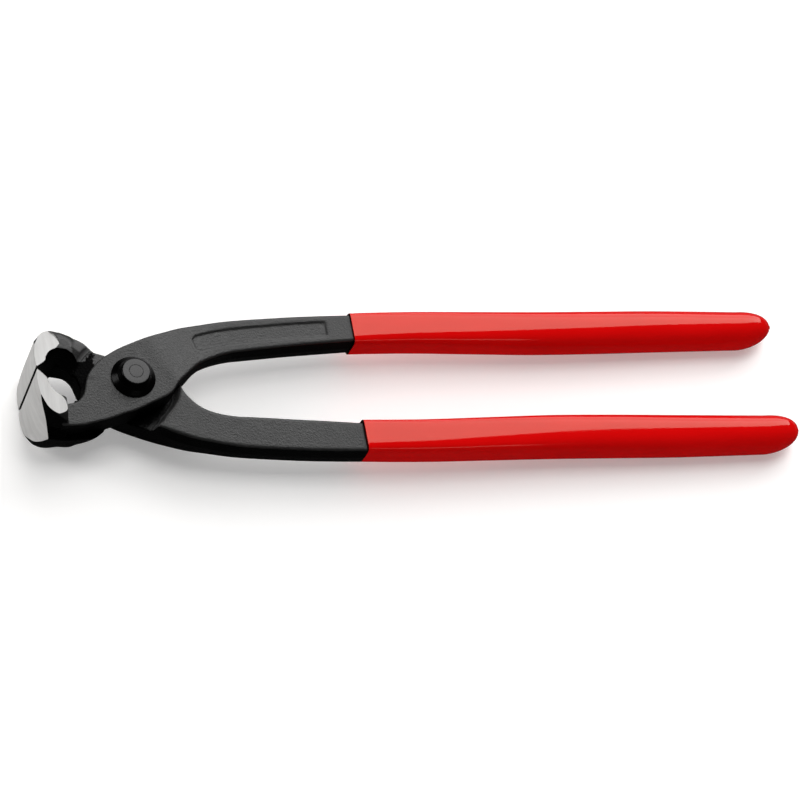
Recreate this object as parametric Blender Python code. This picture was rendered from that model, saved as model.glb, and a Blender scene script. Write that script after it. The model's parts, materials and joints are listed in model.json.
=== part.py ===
"""Rebar tying pliers, 250 mm long: two forged levers on one rivet, with dipped handles.

+X runs from the jaws to the handle ends, +Y to the front lever's handle and +Z through the
rivet to its raised head. The origin is at the middle of the length and of the width, level
with the underside of the head. Both levers are one forging: the back one is the front one
turned over about X. Every shape is drawn about the pivot, in the front lever's place.
"""
import math

import bmesh
import bpy
from mathutils import Vector

MM = 0.001

# Overall
JAW_REACH = 29.85 * MM
HANDLE_REACH = 220.15 * MM
HANDLE_OFFSET = 19.0 * MM
HEAD_WIDTH = 27.6 * MM

# Clearances
RUNNING_GAP = 0.3 * MM
COAT_GAP = 0.3 * MM
EDGE_GAP = 0.4 * MM
OVERRUN = 2.0 * MM

# Jaws
FRONT_JAW_HEIGHT = 16.6 * MM
BACK_JAW_HEIGHT = 15.0 * MM
JAW_FRONT_RADIUS = 21.0 * MM
JAW_FRONT_SWEEP = math.radians(64.0)
JAW_CREST = 3.2 * MM
JAW_CORNER_RADIUS = 3.8 * MM
GRIND_STOCK = 0.35 * MM
CHEEK_WIDTH = 20.9 * MM
NOSE_HEIGHT = 13.4 * MM
HEAD_DEPTH = 8.55 * MM
LEDGE_RISE = 1.0 * MM
STEP_RUN = 0.5 * MM
HOLLOW_SETBACK = 8.45 * MM
HOLLOW_OFFSET = 2.4 * MM
HOLLOW_RADIUS = 5.2 * MM
HOLLOW_END = math.radians(20.0)
FACET_SLOPE = 0.30
FACET_FALL = 0.09

# Joint
PLATE_THICKNESS = 7.1 * MM
JOINT_RADIUS = 15.3 * MM
FRONT_PLATE_SHARE = 0.96
BACK_PLATE_SHARE = 1.01
RECESS_FILLET = 1.7 * MM
RAMP_RUN = 5.4 * MM
RECESS_BLEND_SHARE = 0.3

# Arms
ARM_THICKNESS = 8.1 * MM
FRONT_ARM_OFFSET = 18.5 * MM
BACK_ARM_OFFSET = 19.4 * MM
FRONT_CROTCH_RELIEF = 0.9 * MM
BACK_CROTCH_RELIEF = 2.3 * MM
ARM_EDGE_RADIUS = 0.8 * MM
ARM_DRAFT = math.radians(7.0)
PLATE_DRAFT = math.radians(1.0)
PLATE_EDGE_RADIUS = 0.5 * MM
PLAQUE_START = 20.0 * MM
PLAQUE_END = 65.4 * MM
PLAQUE_WIDTH = 5.3 * MM
PLAQUE_DEPTH = 0.35 * MM

# Rivet
RIVET_RADIUS = 5.0 * MM
RIVET_BASE_RADIUS = 6.6 * MM
RIVET_TOP_RADIUS = 4.15 * MM
RIVET_RISE = 3.85 * MM
TAIL_BASE_RADIUS = 6.4 * MM
TAIL_TOP_RADIUS = 4.6 * MM
TAIL_RISE = 1.6 * MM
RIVET_EDGE_RADIUS = 0.4 * MM
RIM_HEIGHT = 0.1 * MM

# Dipped coats
FRONT_COAT_START = 72.0 * MM
BACK_COAT_START = 69.8 * MM
COAT_WALL = 0.65 * MM
COAT_WIDTH = 12.6 * MM
COAT_THICKNESS = 12.0 * MM
COAT_ROUND_END = 12.0 * MM
COAT_END_TAPER = 1.05
NIB_RADIUS = 1.3 * MM
NIB_LENGTH = 1.1 * MM
TANG_SETBACK = 12.0 * MM

# Outline of a lever, rib by rib: the outer edge's x and y, then the inner edge's x and y,
# and how far the section reaches under the middle, as a share of half the arm. The first
# ribs are shares of the jaw's reach and height, and the next of the plate's radius.
JAW_RIB_SHARES = (
    (-0.705, -0.530, -0.757, -0.898, 0.25),
    (-0.597, -0.490, -0.570, -0.885, 0.25),
    (-0.546, -0.424, -0.469, -0.848, 0.25),
    (-0.503, -0.314, -0.375, -0.810, 0.25),
    (-0.476, -0.157, -0.271, -0.762, 0.25),
    (-0.446, 0.018, -0.154, -0.685, 0.25),
    (-0.370, 0.205, -0.024, -0.612, 0.25),
)
PLATE_RIB_SHARES = (
    (-0.539, 0.431, 0.288, -0.542, 0.30),
    (-0.222, 0.627, 0.621, -0.386, 0.50),
    (0.118, 0.778, 0.784, -0.261, 0.80),
    (0.458, 0.908, 0.928, -0.065, 1.00),
)
# The last ribs are shares of the coat's start and the arm's offset, with the rise of the
# top over the arm's own, as a share of the plate's, and the relief of the crotch below.
ARM_RIB_SHARES = (
    (0.167, 0.810, 0.231, 0.116, 0.76, 0.70),
    (0.236, 0.905, 0.285, 0.305, 0.47, 1.00),
    (0.313, 0.977, 0.351, 0.442, 0.21, 0.95),
    (0.417, 1.055, 0.438, 0.553, 0.04, 0.60),
    (0.528, 1.100, 0.528, 0.605, 0.00, 0.35),
    (0.708, 1.147, 0.708, 0.684, 0.00, 0.10),
    (0.833, 1.168, 0.833, 0.727, 0.02, 0.00),
    (1.000, 1.184, 1.000, 0.775, 0.06, 0.00),
)

# Jaw skin in front of the cheeks: x as a share of the reach, the width as a share of the
# flare over the cheeks, the ridge as a share of the jaw's height, and the corner's height
# and radius as shares of the nose's height and of the cheeks' corner radius.
NOSE_SHARES = (
    (-1.067, 1.000, 0.770, 0.260, 0.35),
    (-0.985, 0.770, 0.865, 0.560, 0.35),
    (-0.930, 0.617, 0.918, 0.800, 0.35),
    (-0.890, 0.505, 0.945, 0.905, 0.35),
    (-0.845, 0.378, 0.965, 0.970, 0.35),
    (-0.790, 0.224, 0.982, 1.015, 0.45),
    (-0.714, 0.000, 1.000, 1.045, 0.75),
)
# Jaw skin from the cheeks towards the pivot: x as a share of the reach, the free side's width
# as a share of half the cheeks', and the ridge and its fall to the corner as shares of the
# jaw's height.
SKIN_SHARES = (
    (-0.603, 0.99, 1.00, 0.110),
    (-0.546, 0.90, 0.99, 0.100),
    (-0.479, 0.69, 0.97, 0.077),
    (-0.409, 0.50, 0.93, 0.055),
    (-0.362, 0.38, 0.88, 0.042),
    (-0.298, 0.05, 0.79, 0.010),
)

# A coat along its length: x and the offset, width, thickness and corner at each place, as
# shares of the length before the round end, the handle's offset, and the coat's own width,
# thickness and half thickness.
COAT_SHARES = (
    (0.00, 0.962, 0.873, 0.79, 0.42),
    (0.06, 0.973, 0.890, 0.80, 0.44),
    (0.16, 0.982, 0.910, 0.83, 0.48),
    (0.30, 0.972, 0.955, 0.87, 0.56),
    (0.46, 0.962, 1.002, 0.92, 0.66),
    (0.62, 0.974, 1.020, 0.96, 0.74),
    (0.78, 0.992, 1.023, 0.99, 0.82),
    (1.00, 1.000, 0.978, 1.00, 0.90),
)

# Counts of mesh steps
RIB_STEPS = 3
COAT_STEPS = 3
TURN_STEPS = 64
RIVET_STEPS = 48
ARM_CORNER_STEPS = 2
COAT_CORNER_STEPS = 5
JAW_CORNER_STEPS = 4
RECESS_STEPS = 6
ARC_STEPS = 14
CAP_STEPS = 6
PLAQUE_STEPS = 8

PIVOT_X = (JAW_REACH - HANDLE_REACH) / 2
PIVOT_Z = HEAD_WIDTH / 2
ARM_HALF = ARM_THICKNESS / 2


def clear_scene():
    for item in list(bpy.data.objects):
        bpy.data.objects.remove(item, do_unlink=True)


def make_material(name, colour, roughness, metallic):
    material = bpy.data.materials.new(name)
    material.use_nodes = True
    shader = material.node_tree.nodes["Principled BSDF"]
    shader.inputs["Base Color"].default_value = (*colour, 1.0)
    shader.inputs["Roughness"].default_value = roughness
    shader.inputs["Metallic"].default_value = metallic
    return material


def make_object(name, mesh, material=None):
    item = bpy.data.objects.new(name, mesh)
    bpy.context.scene.collection.objects.link(item)
    if material:
        mesh.materials.append(material)
    return item


def finish_mesh(name, bm):
    bmesh.ops.recalc_face_normals(bm, faces=bm.faces)
    mesh = bpy.data.meshes.new(name)
    bm.to_mesh(mesh)
    bm.free()
    return mesh


def loft(name, rings):
    """A closed body through rings with the same number of points, capped at both ends."""
    bm = bmesh.new()
    rows = [[bm.verts.new(point) for point in ring] for ring in rings]
    count = len(rows[0])
    for row, following in zip(rows, rows[1:]):
        for i in range(count):
            j = (i + 1) % count
            bm.faces.new((row[i], row[j], following[j], following[i]))
    bm.faces.new(rows[0])
    bm.faces.new(rows[-1])
    return finish_mesh(name, bm)


def prism(name, outline, low, high):
    """An outline in the XY plane, from the height low to the height high."""
    return loft(name, [[(x, y, z) for x, y in outline] for z in (low, high)])


def turned(name, profile_at, steps):
    """A body turned about Z, from a function that gives the radii and heights at an angle."""
    columns = []
    for i in range(steps):
        angle = math.tau * i / steps
        columns.append([(radius * math.cos(angle), radius * math.sin(angle), height)
                        for radius, height in profile_at(angle)])
    return loft(name, list(zip(*columns)))


def smooth_rows(rows, steps):
    """Points on a smooth curve through every row, with steps between one row and the next."""
    result = []
    for i in range(len(rows) - 1):
        before = rows[max(i - 1, 0)]
        after = rows[min(i + 2, len(rows) - 1)]
        for step in range(steps):
            result.append(curve_row(before, rows[i], rows[i + 1], after, step / steps))
    result.append(rows[-1])
    return result


def curve_row(before, start, end, after, share):
    row = []
    for p0, p1, p2, p3 in zip(before, start, end, after):
        bend = (2 * p0 - 5 * p1 + 4 * p2 - p3) * share ** 2 + (3 * p1 - p0 - 3 * p2 + p3) * share ** 3
        row.append(p1 + ((p2 - p0) * share + bend) / 2)
    return tuple(row)


def bar_ring(outer, inner, top, bottom, radius, draft, steps, relief=0):
    """A bar's section on the line from its inner to its outer edge.

    The flats end at the two edges, round corners follow, and the drafted sides meet in a
    ridge at height zero. The relief narrows the lower flat at its inner edge.
    """
    outer = Vector(outer)
    inner = Vector(inner)
    across = (outer - inner).normalized()
    ring = []
    for edge, way, ease in ((outer, across, 0), (inner, -across, relief)):
        side = []
        for height, shift in ((top, 0), (bottom, ease)):
            corner = []
            for step in range(steps + 1):
                angle = math.pi / 2 + (draft - math.pi / 2) * step / steps
                rise = abs(height) - radius + radius * math.sin(angle)
                corner.append((radius * math.cos(angle) - shift, math.copysign(rise, height)))
            side.append(corner)
        reach, rise = side[0][-1]
        ridge = (reach + rise * math.tan(draft) - ease / 2, 0)
        half = side[0] + [ridge] + side[1][::-1]
        for out, height in half if edge is outer else half[::-1]:
            place = edge + way * out
            ring.append((place.x, place.y, height))
    return ring


def cut(target, tool, operation="DIFFERENCE"):
    tool.parent = target
    tool.hide_render = True
    tool.display_type = "WIRE"
    modifier = target.modifiers.new(tool.name, "BOOLEAN")
    modifier.object = tool
    modifier.operation = operation
    modifier.solver = "EXACT"


def lever_ribs(jaw_height, plate_share, arm_offset, coat_start):
    """Rows of a lever's outline: outer x and y, inner x and y, and then the section's top,
    underside, relief, edge radius and draft.
    """
    ribs = []
    radius = plate_share * JOINT_RADIUS
    for tables, along, across in ((JAW_RIB_SHARES, JAW_REACH, jaw_height),
                                  (PLATE_RIB_SHARES, radius, radius)):
        for outer_x, outer_y, inner_x, inner_y, under in tables:
            ribs.append((outer_x * along, outer_y * across, inner_x * along, inner_y * across,
                         PLATE_THICKNESS, -under * ARM_HALF, 0, PLATE_EDGE_RADIUS, PLATE_DRAFT))
    for outer_x, outer_y, inner_x, inner_y, rise, relief in ARM_RIB_SHARES:
        top = ARM_HALF + rise * (PLATE_THICKNESS - ARM_HALF)
        ribs.append((outer_x * coat_start, outer_y * arm_offset, inner_x * coat_start,
                     inner_y * arm_offset, top, -ARM_HALF, relief, ARM_EDGE_RADIUS, ARM_DRAFT))
    return ribs


def coat_rows(coat_start):
    """Rows along a coat: x, the middle's y, half the width, half the thickness, the corner."""
    length = HANDLE_REACH - NIB_LENGTH - COAT_ROUND_END - coat_start
    rows = []
    for along, offset, width, thickness, corner in COAT_SHARES:
        half_width = width * COAT_WIDTH / 2
        half_thickness = thickness * COAT_THICKNESS / 2
        radius = corner * min(half_width, half_thickness)
        rows.append((coat_start + along * length, offset * HANDLE_OFFSET, half_width,
                     half_thickness, radius))
    return smooth_rows(rows, COAT_STEPS)


def coat_ring(row, inset, steps):
    """A coat's section, or one a given depth under its skin."""
    x, middle, half_width, half_thickness, radius = row
    radius = max(radius - inset, radius / 2)
    flat = half_width - inset - radius
    top = half_thickness - inset
    return bar_ring((x, middle + flat), (x, middle - flat), top, -top, radius, 0, steps)


def tang_rings(coat_start, inset, end):
    rows = [row for row in coat_rows(coat_start) if row[0] < end]
    rows.append((end, *row_before(coat_rows(coat_start), end)))
    return [coat_ring(row, inset, ARM_CORNER_STEPS) for row in rows]


def row_before(rows, x):
    return [row for row in rows if row[0] <= x][-1][1:]


def make_skin(name, jaw_height):
    """The forged skin of a jaw: two drafted sides that meet in a ridge, rounded at the cheeks."""
    cheek = CHEEK_WIDTH / 2
    flare = HEAD_WIDTH / 2 + FACET_SLOPE * OVERRUN + GRIND_STOCK - cheek
    stations = []
    for along, width, ridge, corner, rounding in NOSE_SHARES:
        side = cheek + width * flare
        height = ridge * jaw_height
        stations.append((along * JAW_REACH, side, side, height, height - corner * NOSE_HEIGHT,
                         rounding * JAW_CORNER_RADIUS))
    x, *rest = stations[-1]
    stations.append((x + STEP_RUN, LEDGE_RISE, *rest[1:]))
    for along, width, ridge, fall in SKIN_SHARES:
        stations.append((along * JAW_REACH, LEDGE_RISE, width * cheek, ridge * jaw_height,
                         fall * jaw_height, JAW_CORNER_RADIUS))
    rings = []
    for x, plate_side, free_side, ridge, fall, rounding in stations:
        half = []
        slope = fall / max(plate_side, free_side)
        for width, way in ((plate_side, 1), (free_side, -1)):
            radius = min(rounding, width / 2)
            corner = Vector((ridge - slope * width, width))
            start = corner - Vector((radius, 0))
            end = corner + Vector((slope, -1)) * radius
            points = [(-OVERRUN, way * width)]
            for step in range(JAW_CORNER_STEPS + 1):
                share = step / JAW_CORNER_STEPS
                place = start.lerp(corner, share).lerp(corner.lerp(end, share), share)
                points.append((place.x, way * place.y))
            half.append(points)
        outline = half[0] + [(ridge, 0)] + half[1][::-1]
        rings.append([(x, -height, z) for height, z in outline])
    return make_object(name, loft(name, rings))


def front_depth(height):
    """How far the jaw's curved front lies behind its crest, at a height over the middle."""
    return JAW_FRONT_RADIUS - math.sqrt(JAW_FRONT_RADIUS ** 2 - (height - JAW_CREST) ** 2)


def make_jaw_profile(name, jaw_height):
    """The jaw seen along the rivet: curved front, cutting edge, its bevel and the hollow."""
    edge = EDGE_GAP / 2
    top = JAW_CREST + JAW_FRONT_RADIUS * math.sin(JAW_FRONT_SWEEP)
    outline = []
    for step in range(ARC_STEPS + 1):
        height = edge + (top - edge) * step / ARC_STEPS
        outline.append((-JAW_REACH + front_depth(height), height))
    reach = max(jaw_height + OVERRUN, top)
    outline += [(-JOINT_RADIUS, reach), (0, reach)]
    outline.append((0, HOLLOW_OFFSET + HOLLOW_RADIUS * math.sin(HOLLOW_END)))
    for step in range(ARC_STEPS + 1):
        angle = HOLLOW_END + (math.pi - HOLLOW_END) * step / ARC_STEPS
        outline.append((HOLLOW_SETBACK - JAW_REACH + HOLLOW_RADIUS * math.cos(angle),
                        HOLLOW_OFFSET + HOLLOW_RADIUS * math.sin(angle)))
    outline = [(x, -height) for x, height in outline]
    return make_object(name, prism(name, outline, -HEAD_WIDTH, HEAD_WIDTH))


def make_facet(name, side):
    """What the grinding wheel takes off one side of a jaw, beyond a sloping plane.

    The plane passes through the end of the cutting edge, where the head is widest.
    """
    edge_x = -JAW_REACH + front_depth(EDGE_GAP / 2)
    rings = []
    far = HEAD_WIDTH * side
    for x in (-JAW_REACH - OVERRUN, HEAD_DEPTH - JAW_REACH):
        ring = []
        for y in (OVERRUN, -FRONT_JAW_HEIGHT - OVERRUN):
            fall = FACET_SLOPE * (x - edge_x) - FACET_FALL * (y + EDGE_GAP / 2)
            ring.append((x, y, side * (HEAD_WIDTH / 2 - fall)))
        rings.append(ring + [(x, y, far) for x, y, z in reversed(ring)])
    return make_object(name, loft(name, rings))


def make_jaw(name, jaw_height):
    jaw = make_skin(name, jaw_height)
    cut(jaw, make_jaw_profile(name + "_profile", jaw_height), "INTERSECT")
    cut(jaw, make_facet(name + "_facet_a", 1))
    cut(jaw, make_facet(name + "_facet_b", -1))
    return jaw


def make_recess(name):
    """The round seat for the other lever's plate.

    Its wall is steep by the jaw, and towards the handle it is a hollow slope up to the arm.
    """
    level = RUNNING_GAP / 2

    def profile_at(angle):
        handle_side = min(max(math.cos(angle) / RECESS_BLEND_SHARE, 0), 1)
        profile = [(JOINT_RADIUS, level)]
        for step in range(1, RECESS_STEPS + 1):
            share = step / RECESS_STEPS
            turn = math.pi / 2 * share
            fillet = Vector((math.sin(turn), math.cos(turn) - 1)) * RECESS_FILLET
            ramp = Vector((share * RAMP_RUN, -(3 * share ** 2 - 2 * share ** 3) * (ARM_HALF + 2 * level)))
            place = fillet.lerp(ramp, handle_side)
            profile.append((JOINT_RADIUS + place.x, level + place.y))
        profile.append((profile[-1][0], -HEAD_WIDTH))
        return profile

    return make_object(name, turned(name, profile_at, TURN_STEPS))


def make_bore(name):
    radius = RIVET_RADIUS + RUNNING_GAP
    profile = [(radius, HEAD_WIDTH), (radius, -HEAD_WIDTH)]
    return make_object(name, turned(name, lambda angle: profile, RIVET_STEPS))


def make_plaque(name, ribs):
    """A shallow round-ended field sunk in the top of the arm, along its middle."""
    rows = smooth_rows(ribs, PLAQUE_STEPS)
    rows = [row for row in rows if PLAQUE_START <= (row[0] + row[2]) / 2 <= PLAQUE_END]
    places = []
    for row in rows:
        outer = Vector(row[0:2])
        inner = Vector(row[2:4])
        places.append(((outer + inner) / 2, (outer - inner).normalized(), row[4]))
    travelled = [0.0]
    for (place, across, top), (following, *rest) in zip(places, places[1:]):
        travelled.append(travelled[-1] + (following - place).length)
    radius = PLAQUE_WIDTH / 2
    rings = []
    for (place, across, top), distance in zip(places[1:-1], travelled[1:-1]):
        depth = max(radius - min(distance, travelled[-1] - distance), 0)
        half = across * math.sqrt(radius ** 2 - depth ** 2)
        low = top - PLAQUE_DEPTH
        high = top + OVERRUN
        rings.append([(*(place + half), low), (*(place + half), high),
                      (*(place - half), high), (*(place - half), low)])
    return make_object(name, loft(name, rings))


def make_lever(name, ribs, jaw_height, coat_start, crotch_relief, material):
    rings = []
    for *edges, top, under, relief, radius, draft in smooth_rows(ribs, RIB_STEPS):
        rings.append(bar_ring(edges[:2], edges[2:], top, under, radius, draft, ARM_CORNER_STEPS,
                              relief * crotch_relief))
    rings += tang_rings(coat_start, COAT_WALL + COAT_GAP, HANDLE_REACH - TANG_SETBACK)
    lever = make_object(name, loft(name, rings), material)
    cut(lever, make_jaw(name + "_jaw", jaw_height), "UNION")
    cut(lever, make_recess(name + "_recess"))
    cut(lever, make_bore(name + "_bore"))
    return lever


def make_coat(name, coat_start, material):
    """A dipped coat: open at the front, with a round end and the drip's nib."""
    rings = []
    for row in coat_rows(coat_start + COAT_GAP):
        rings.append(coat_ring(row, 0, COAT_CORNER_STEPS))
    x, middle, half_width, half_thickness, radius = coat_rows(coat_start)[-1]
    cap_length = HANDLE_REACH - NIB_LENGTH - x
    for step in range(1, CAP_STEPS + 1):
        angle = math.pi / 2 * step / CAP_STEPS
        place = x + cap_length * math.sin(angle)
        share = max(math.cos(angle), 0) ** COAT_END_TAPER
        rings.append(coat_end_ring(place, middle, half_width, half_thickness, radius, share))
    rings.append(coat_end_ring(HANDLE_REACH, middle, half_width, half_thickness, radius, 0))
    coat = make_object(name, loft(name, rings), material)
    inset = COAT_WALL
    pocket = tang_rings(coat_start, inset, HANDLE_REACH - TANG_SETBACK + COAT_GAP)
    mouth = [(coat_start - OVERRUN, y, z) for x, y, z in pocket[0]]
    cut(coat, make_object(name + "_pocket", loft(name + "_pocket", [mouth] + pocket)))
    return coat


def coat_end_ring(x, middle, half_width, half_thickness, radius, share):
    wide = max(half_width * share, NIB_RADIUS)
    thick = max(half_thickness * share, NIB_RADIUS)
    corner = min(wide, thick) * radius / min(half_width, half_thickness)
    return bar_ring((x, middle + wide - corner), (x, middle - wide + corner), thick, -thick,
                    corner, 0, COAT_CORNER_STEPS)


def make_rivet(name, material):
    """The rivet: a raised cone head, the shank through both plates and the formed tail."""
    seat = PLATE_THICKNESS + RUNNING_GAP
    head_top = PLATE_THICKNESS + RIVET_RISE
    tail_top = -PLATE_THICKNESS - TAIL_RISE
    profile = [
        (RIVET_TOP_RADIUS - RIVET_EDGE_RADIUS, head_top),
        (RIVET_TOP_RADIUS, head_top - RIVET_EDGE_RADIUS),
        (RIVET_BASE_RADIUS, seat + RIM_HEIGHT),
        (RIVET_BASE_RADIUS, seat),
        (RIVET_RADIUS, seat),
        (RIVET_RADIUS, -seat),
        (TAIL_BASE_RADIUS, -seat),
        (TAIL_BASE_RADIUS, -seat - RIM_HEIGHT),
        (TAIL_TOP_RADIUS, tail_top + RIVET_EDGE_RADIUS),
        (TAIL_TOP_RADIUS - RIVET_EDGE_RADIUS, tail_top),
    ]
    return make_object(name, turned(name, lambda angle: profile, RIVET_STEPS), material)


def build():
    clear_scene()
    pivot = bpy.data.objects.new("pivot_axis", None)
    bpy.context.scene.collection.objects.link(pivot)
    pivot.location = (PIVOT_X, 0, PIVOT_Z)
    steel = make_material("black_steel", (0.028, 0.028, 0.029), 0.42, 0.6)
    rivet_steel = make_material("black_rivet", (0.035, 0.035, 0.036), 0.45, 0.6)
    plastic = make_material("red_dip", (0.62, 0.004, 0.004), 0.22, 0.0)
    ribs = lever_ribs(FRONT_JAW_HEIGHT, FRONT_PLATE_SHARE, FRONT_ARM_OFFSET, FRONT_COAT_START)
    front = make_lever("front_lever", ribs, FRONT_JAW_HEIGHT, FRONT_COAT_START, FRONT_CROTCH_RELIEF, steel)
    cut(front, make_plaque("front_lever_plaque", ribs))
    ribs = lever_ribs(BACK_JAW_HEIGHT, BACK_PLATE_SHARE, BACK_ARM_OFFSET, BACK_COAT_START)
    back = make_lever("back_lever", ribs, BACK_JAW_HEIGHT, BACK_COAT_START, BACK_CROTCH_RELIEF, steel)
    front_grip = make_coat("front_grip", FRONT_COAT_START, plastic)
    back_grip = make_coat("back_grip", BACK_COAT_START, plastic)
    rivet = make_rivet("pivot_rivet", rivet_steel)
    for piece in (front, back, front_grip, back_grip, rivet):
        piece.parent = pivot
        piece.data.shade_smooth()
        piece.data.set_sharp_from_angle(angle=math.radians(30))
    for piece in (back, back_grip):
        piece.rotation_euler.x = math.pi


build()
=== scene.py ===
"""Rebar tying pliers on a pale floor: two forged levers, their rivet and two dipped grips.

Lengths are metres, written in millimetres with MM. The pieces are drawn about the pivot, with
+X towards the handle ends, +Y towards the front lever's handle and +Z towards the rivet's
raised head, in the front lever's place. The back lever is drawn there too and turned over.
"""
import json
import math

import bmesh
import bpy
from mathutils import Matrix, Vector


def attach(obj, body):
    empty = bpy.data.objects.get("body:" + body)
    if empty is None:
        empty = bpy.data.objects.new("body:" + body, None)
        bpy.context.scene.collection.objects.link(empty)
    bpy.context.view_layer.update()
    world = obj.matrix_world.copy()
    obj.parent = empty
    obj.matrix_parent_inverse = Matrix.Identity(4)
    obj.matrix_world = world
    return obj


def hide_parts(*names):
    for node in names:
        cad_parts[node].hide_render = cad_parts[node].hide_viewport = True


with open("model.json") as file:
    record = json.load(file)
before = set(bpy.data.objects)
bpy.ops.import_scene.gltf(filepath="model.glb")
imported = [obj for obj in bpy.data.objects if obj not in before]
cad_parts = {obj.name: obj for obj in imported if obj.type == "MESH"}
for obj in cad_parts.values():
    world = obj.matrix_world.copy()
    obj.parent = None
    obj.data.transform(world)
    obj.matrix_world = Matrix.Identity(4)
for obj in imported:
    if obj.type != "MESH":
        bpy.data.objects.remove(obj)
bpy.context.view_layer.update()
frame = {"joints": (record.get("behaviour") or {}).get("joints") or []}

MM = 0.001


# The two levers
# Each is one drop forging of tool steel, with its jaw, joint plate and arm in one piece. The
# forging is soft edged and finished black, and the jaws' front and sides are ground bright.
# The back lever is the front one turned over about X.
FRONT = {
    "body": "front",
    "node": "front_lever",
    "turned": 0,
    "jaw_height": 16.6 * MM,
    "plate_share": 0.96,
    "arm_offset": 18.5 * MM,
    "crotch_relief": 0.9 * MM,
    "coat_start": 72.0 * MM,
    "handle_offset": 18.87 * MM,
    "squareness": 0.93,
    "end_taper": 0.96,
    "end_lean": 1.2 * MM,
    "facet_end": (
        (-0.854, 1.388), (-0.815, 1.005), (-0.785, 0.985), (-0.758, 0.958), (-0.737, 0.925),
        (-0.722, 0.880), (-0.712, 0.825), (-0.708, 0.765), (-0.709, 0.710), (-0.714, 0.660),
        (-0.724, 0.615), (-0.738, 0.575), (-0.757, 0.537), (-0.757, -0.149),
    ),
    "plaque": True,
}
BACK = {
    "body": "back",
    "node": "back_lever",
    "turned": math.pi,
    "jaw_height": 15.0 * MM,
    "plate_share": 1.01,
    "arm_offset": 19.4 * MM,
    "crotch_relief": 2.3 * MM,
    "coat_start": 69.8 * MM,
    "handle_offset": 19.17 * MM,
    "squareness": 1.07,
    "end_taper": 0.86,
    "end_lean": -1.2 * MM,
    "facet_end": (
        (-0.854, 1.388), (-0.824, 0.993), (-0.797, 0.955), (-0.767, 0.918), (-0.750, 0.873),
        (-0.734, 0.813), (-0.722, 0.739), (-0.719, 0.687), (-0.720, 0.642), (-0.730, 0.597),
        (-0.744, 0.567), (-0.757, 0.537), (-0.757, -0.149),
    ),
    "plaque": False,
}
JAW_REACH = 29.85 * MM
HEAD_WIDTH = 27.6 * MM
EDGE_GAP = 0.4 * MM
EDGE_BEVEL = 0.42 * MM
EDGE_BEVEL_RUN = 0.70 * MM
OVERRUN = 2.0 * MM
JAW_FRONT_RADIUS = 21.0 * MM
JAW_FRONT_SWEEP = math.radians(64.0)
JAW_CREST = 3.2 * MM
JAW_CORNER_RADIUS = 3.8 * MM
GRIND_STOCK = 0.35 * MM
CHEEK_WIDTH = 20.9 * MM
NOSE_HEIGHT = 13.4 * MM
HEAD_DEPTH = 8.55 * MM
LEDGE_RISE = 1.0 * MM
STEP_RUN = 0.5 * MM
HOLLOW_SETBACK = 8.45 * MM
HOLLOW_OFFSET = 2.4 * MM
HOLLOW_RADIUS = 5.2 * MM
HOLLOW_END = math.radians(20.0)
FACET_SLOPE = 0.30
FACET_FALL = 0.09
PLATE_THICKNESS = 7.1 * MM
JOINT_RADIUS = 15.3 * MM
JOINT_GAP = 0.3 * MM
RIVET_RADIUS = 5.0 * MM
RECESS_FILLET = 1.7 * MM
RAMP_RUN = 1.6 * MM
RECESS_BLEND_SHARE = 0.3
ARM_THICKNESS = 8.1 * MM
ARM_HALF = ARM_THICKNESS / 2
ARM_EDGE_RADIUS = 0.8 * MM
ARM_DRAFT = math.radians(7.0)
PLATE_DRAFT = math.radians(1.0)
PLATE_EDGE_RADIUS = 0.5 * MM
PLAQUE_START = 20.0 * MM
PLAQUE_END = 65.4 * MM
PLAQUE_WIDTH = 5.3 * MM
PLAQUE_DEPTH = 0.35 * MM
HANDLE_REACH = 220.15 * MM
COAT_WALL = 0.65 * MM
COAT_LIP = 0.3 * MM
COAT_WIDTH = 12.48 * MM
COAT_THICKNESS = 12.0 * MM
COAT_ROUND_END = 12.0 * MM
NIB_LENGTH = 1.1 * MM
TANG_SETBACK = 12.0 * MM
FORGED_CELL = 0.28 * MM
FORGED_SOFTENING = 4

# Shares of the jaw's reach and height, the plate's radius, and the coat's start and the
# arm's offset: the outer edge's x and y, the inner edge's x and y, and how the section lies.
JAW_RIB_SHARES = (
    (-0.705, -0.530, -0.757, -0.898, 0.25),
    (-0.597, -0.490, -0.570, -0.885, 0.25),
    (-0.546, -0.424, -0.469, -0.848, 0.25),
    (-0.503, -0.314, -0.375, -0.810, 0.25),
    (-0.476, -0.157, -0.271, -0.762, 0.25),
    (-0.446, 0.018, -0.154, -0.685, 0.25),
    (-0.370, 0.205, -0.024, -0.612, 0.25),
)
PLATE_RIB_SHARES = (
    (-0.539, 0.431, 0.288, -0.542, 0.30),
    (-0.222, 0.627, 0.621, -0.386, 0.50),
    (0.118, 0.778, 0.784, -0.261, 0.80),
    (0.458, 0.908, 0.928, -0.065, 1.00),
)
ARM_RIB_SHARES = (
    (0.167, 0.810, 0.231, 0.116, 0.76, 0.70),
    (0.236, 0.905, 0.285, 0.305, 0.47, 1.00),
    (0.313, 0.977, 0.351, 0.442, 0.21, 0.95),
    (0.417, 1.055, 0.438, 0.553, 0.04, 0.60),
    (0.528, 1.100, 0.528, 0.605, 0.00, 0.35),
    (0.708, 1.147, 0.708, 0.684, 0.00, 0.10),
    (0.833, 1.168, 0.833, 0.727, 0.02, 0.00),
    (1.000, 1.184, 1.000, 0.775, 0.06, 0.00),
)
NOSE_SHARES = (
    (-1.067, 1.000, 0.770, 0.260, 0.15),
    (-0.985, 0.770, 0.865, 0.560, 0.15),
    (-0.930, 0.617, 0.918, 0.800, 0.25),
    (-0.890, 0.505, 0.945, 0.905, 0.35),
    (-0.845, 0.378, 0.965, 0.970, 0.35),
    (-0.790, 0.224, 0.982, 1.015, 0.45),
    (-0.714, 0.000, 1.000, 1.045, 0.75),
)
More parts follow.
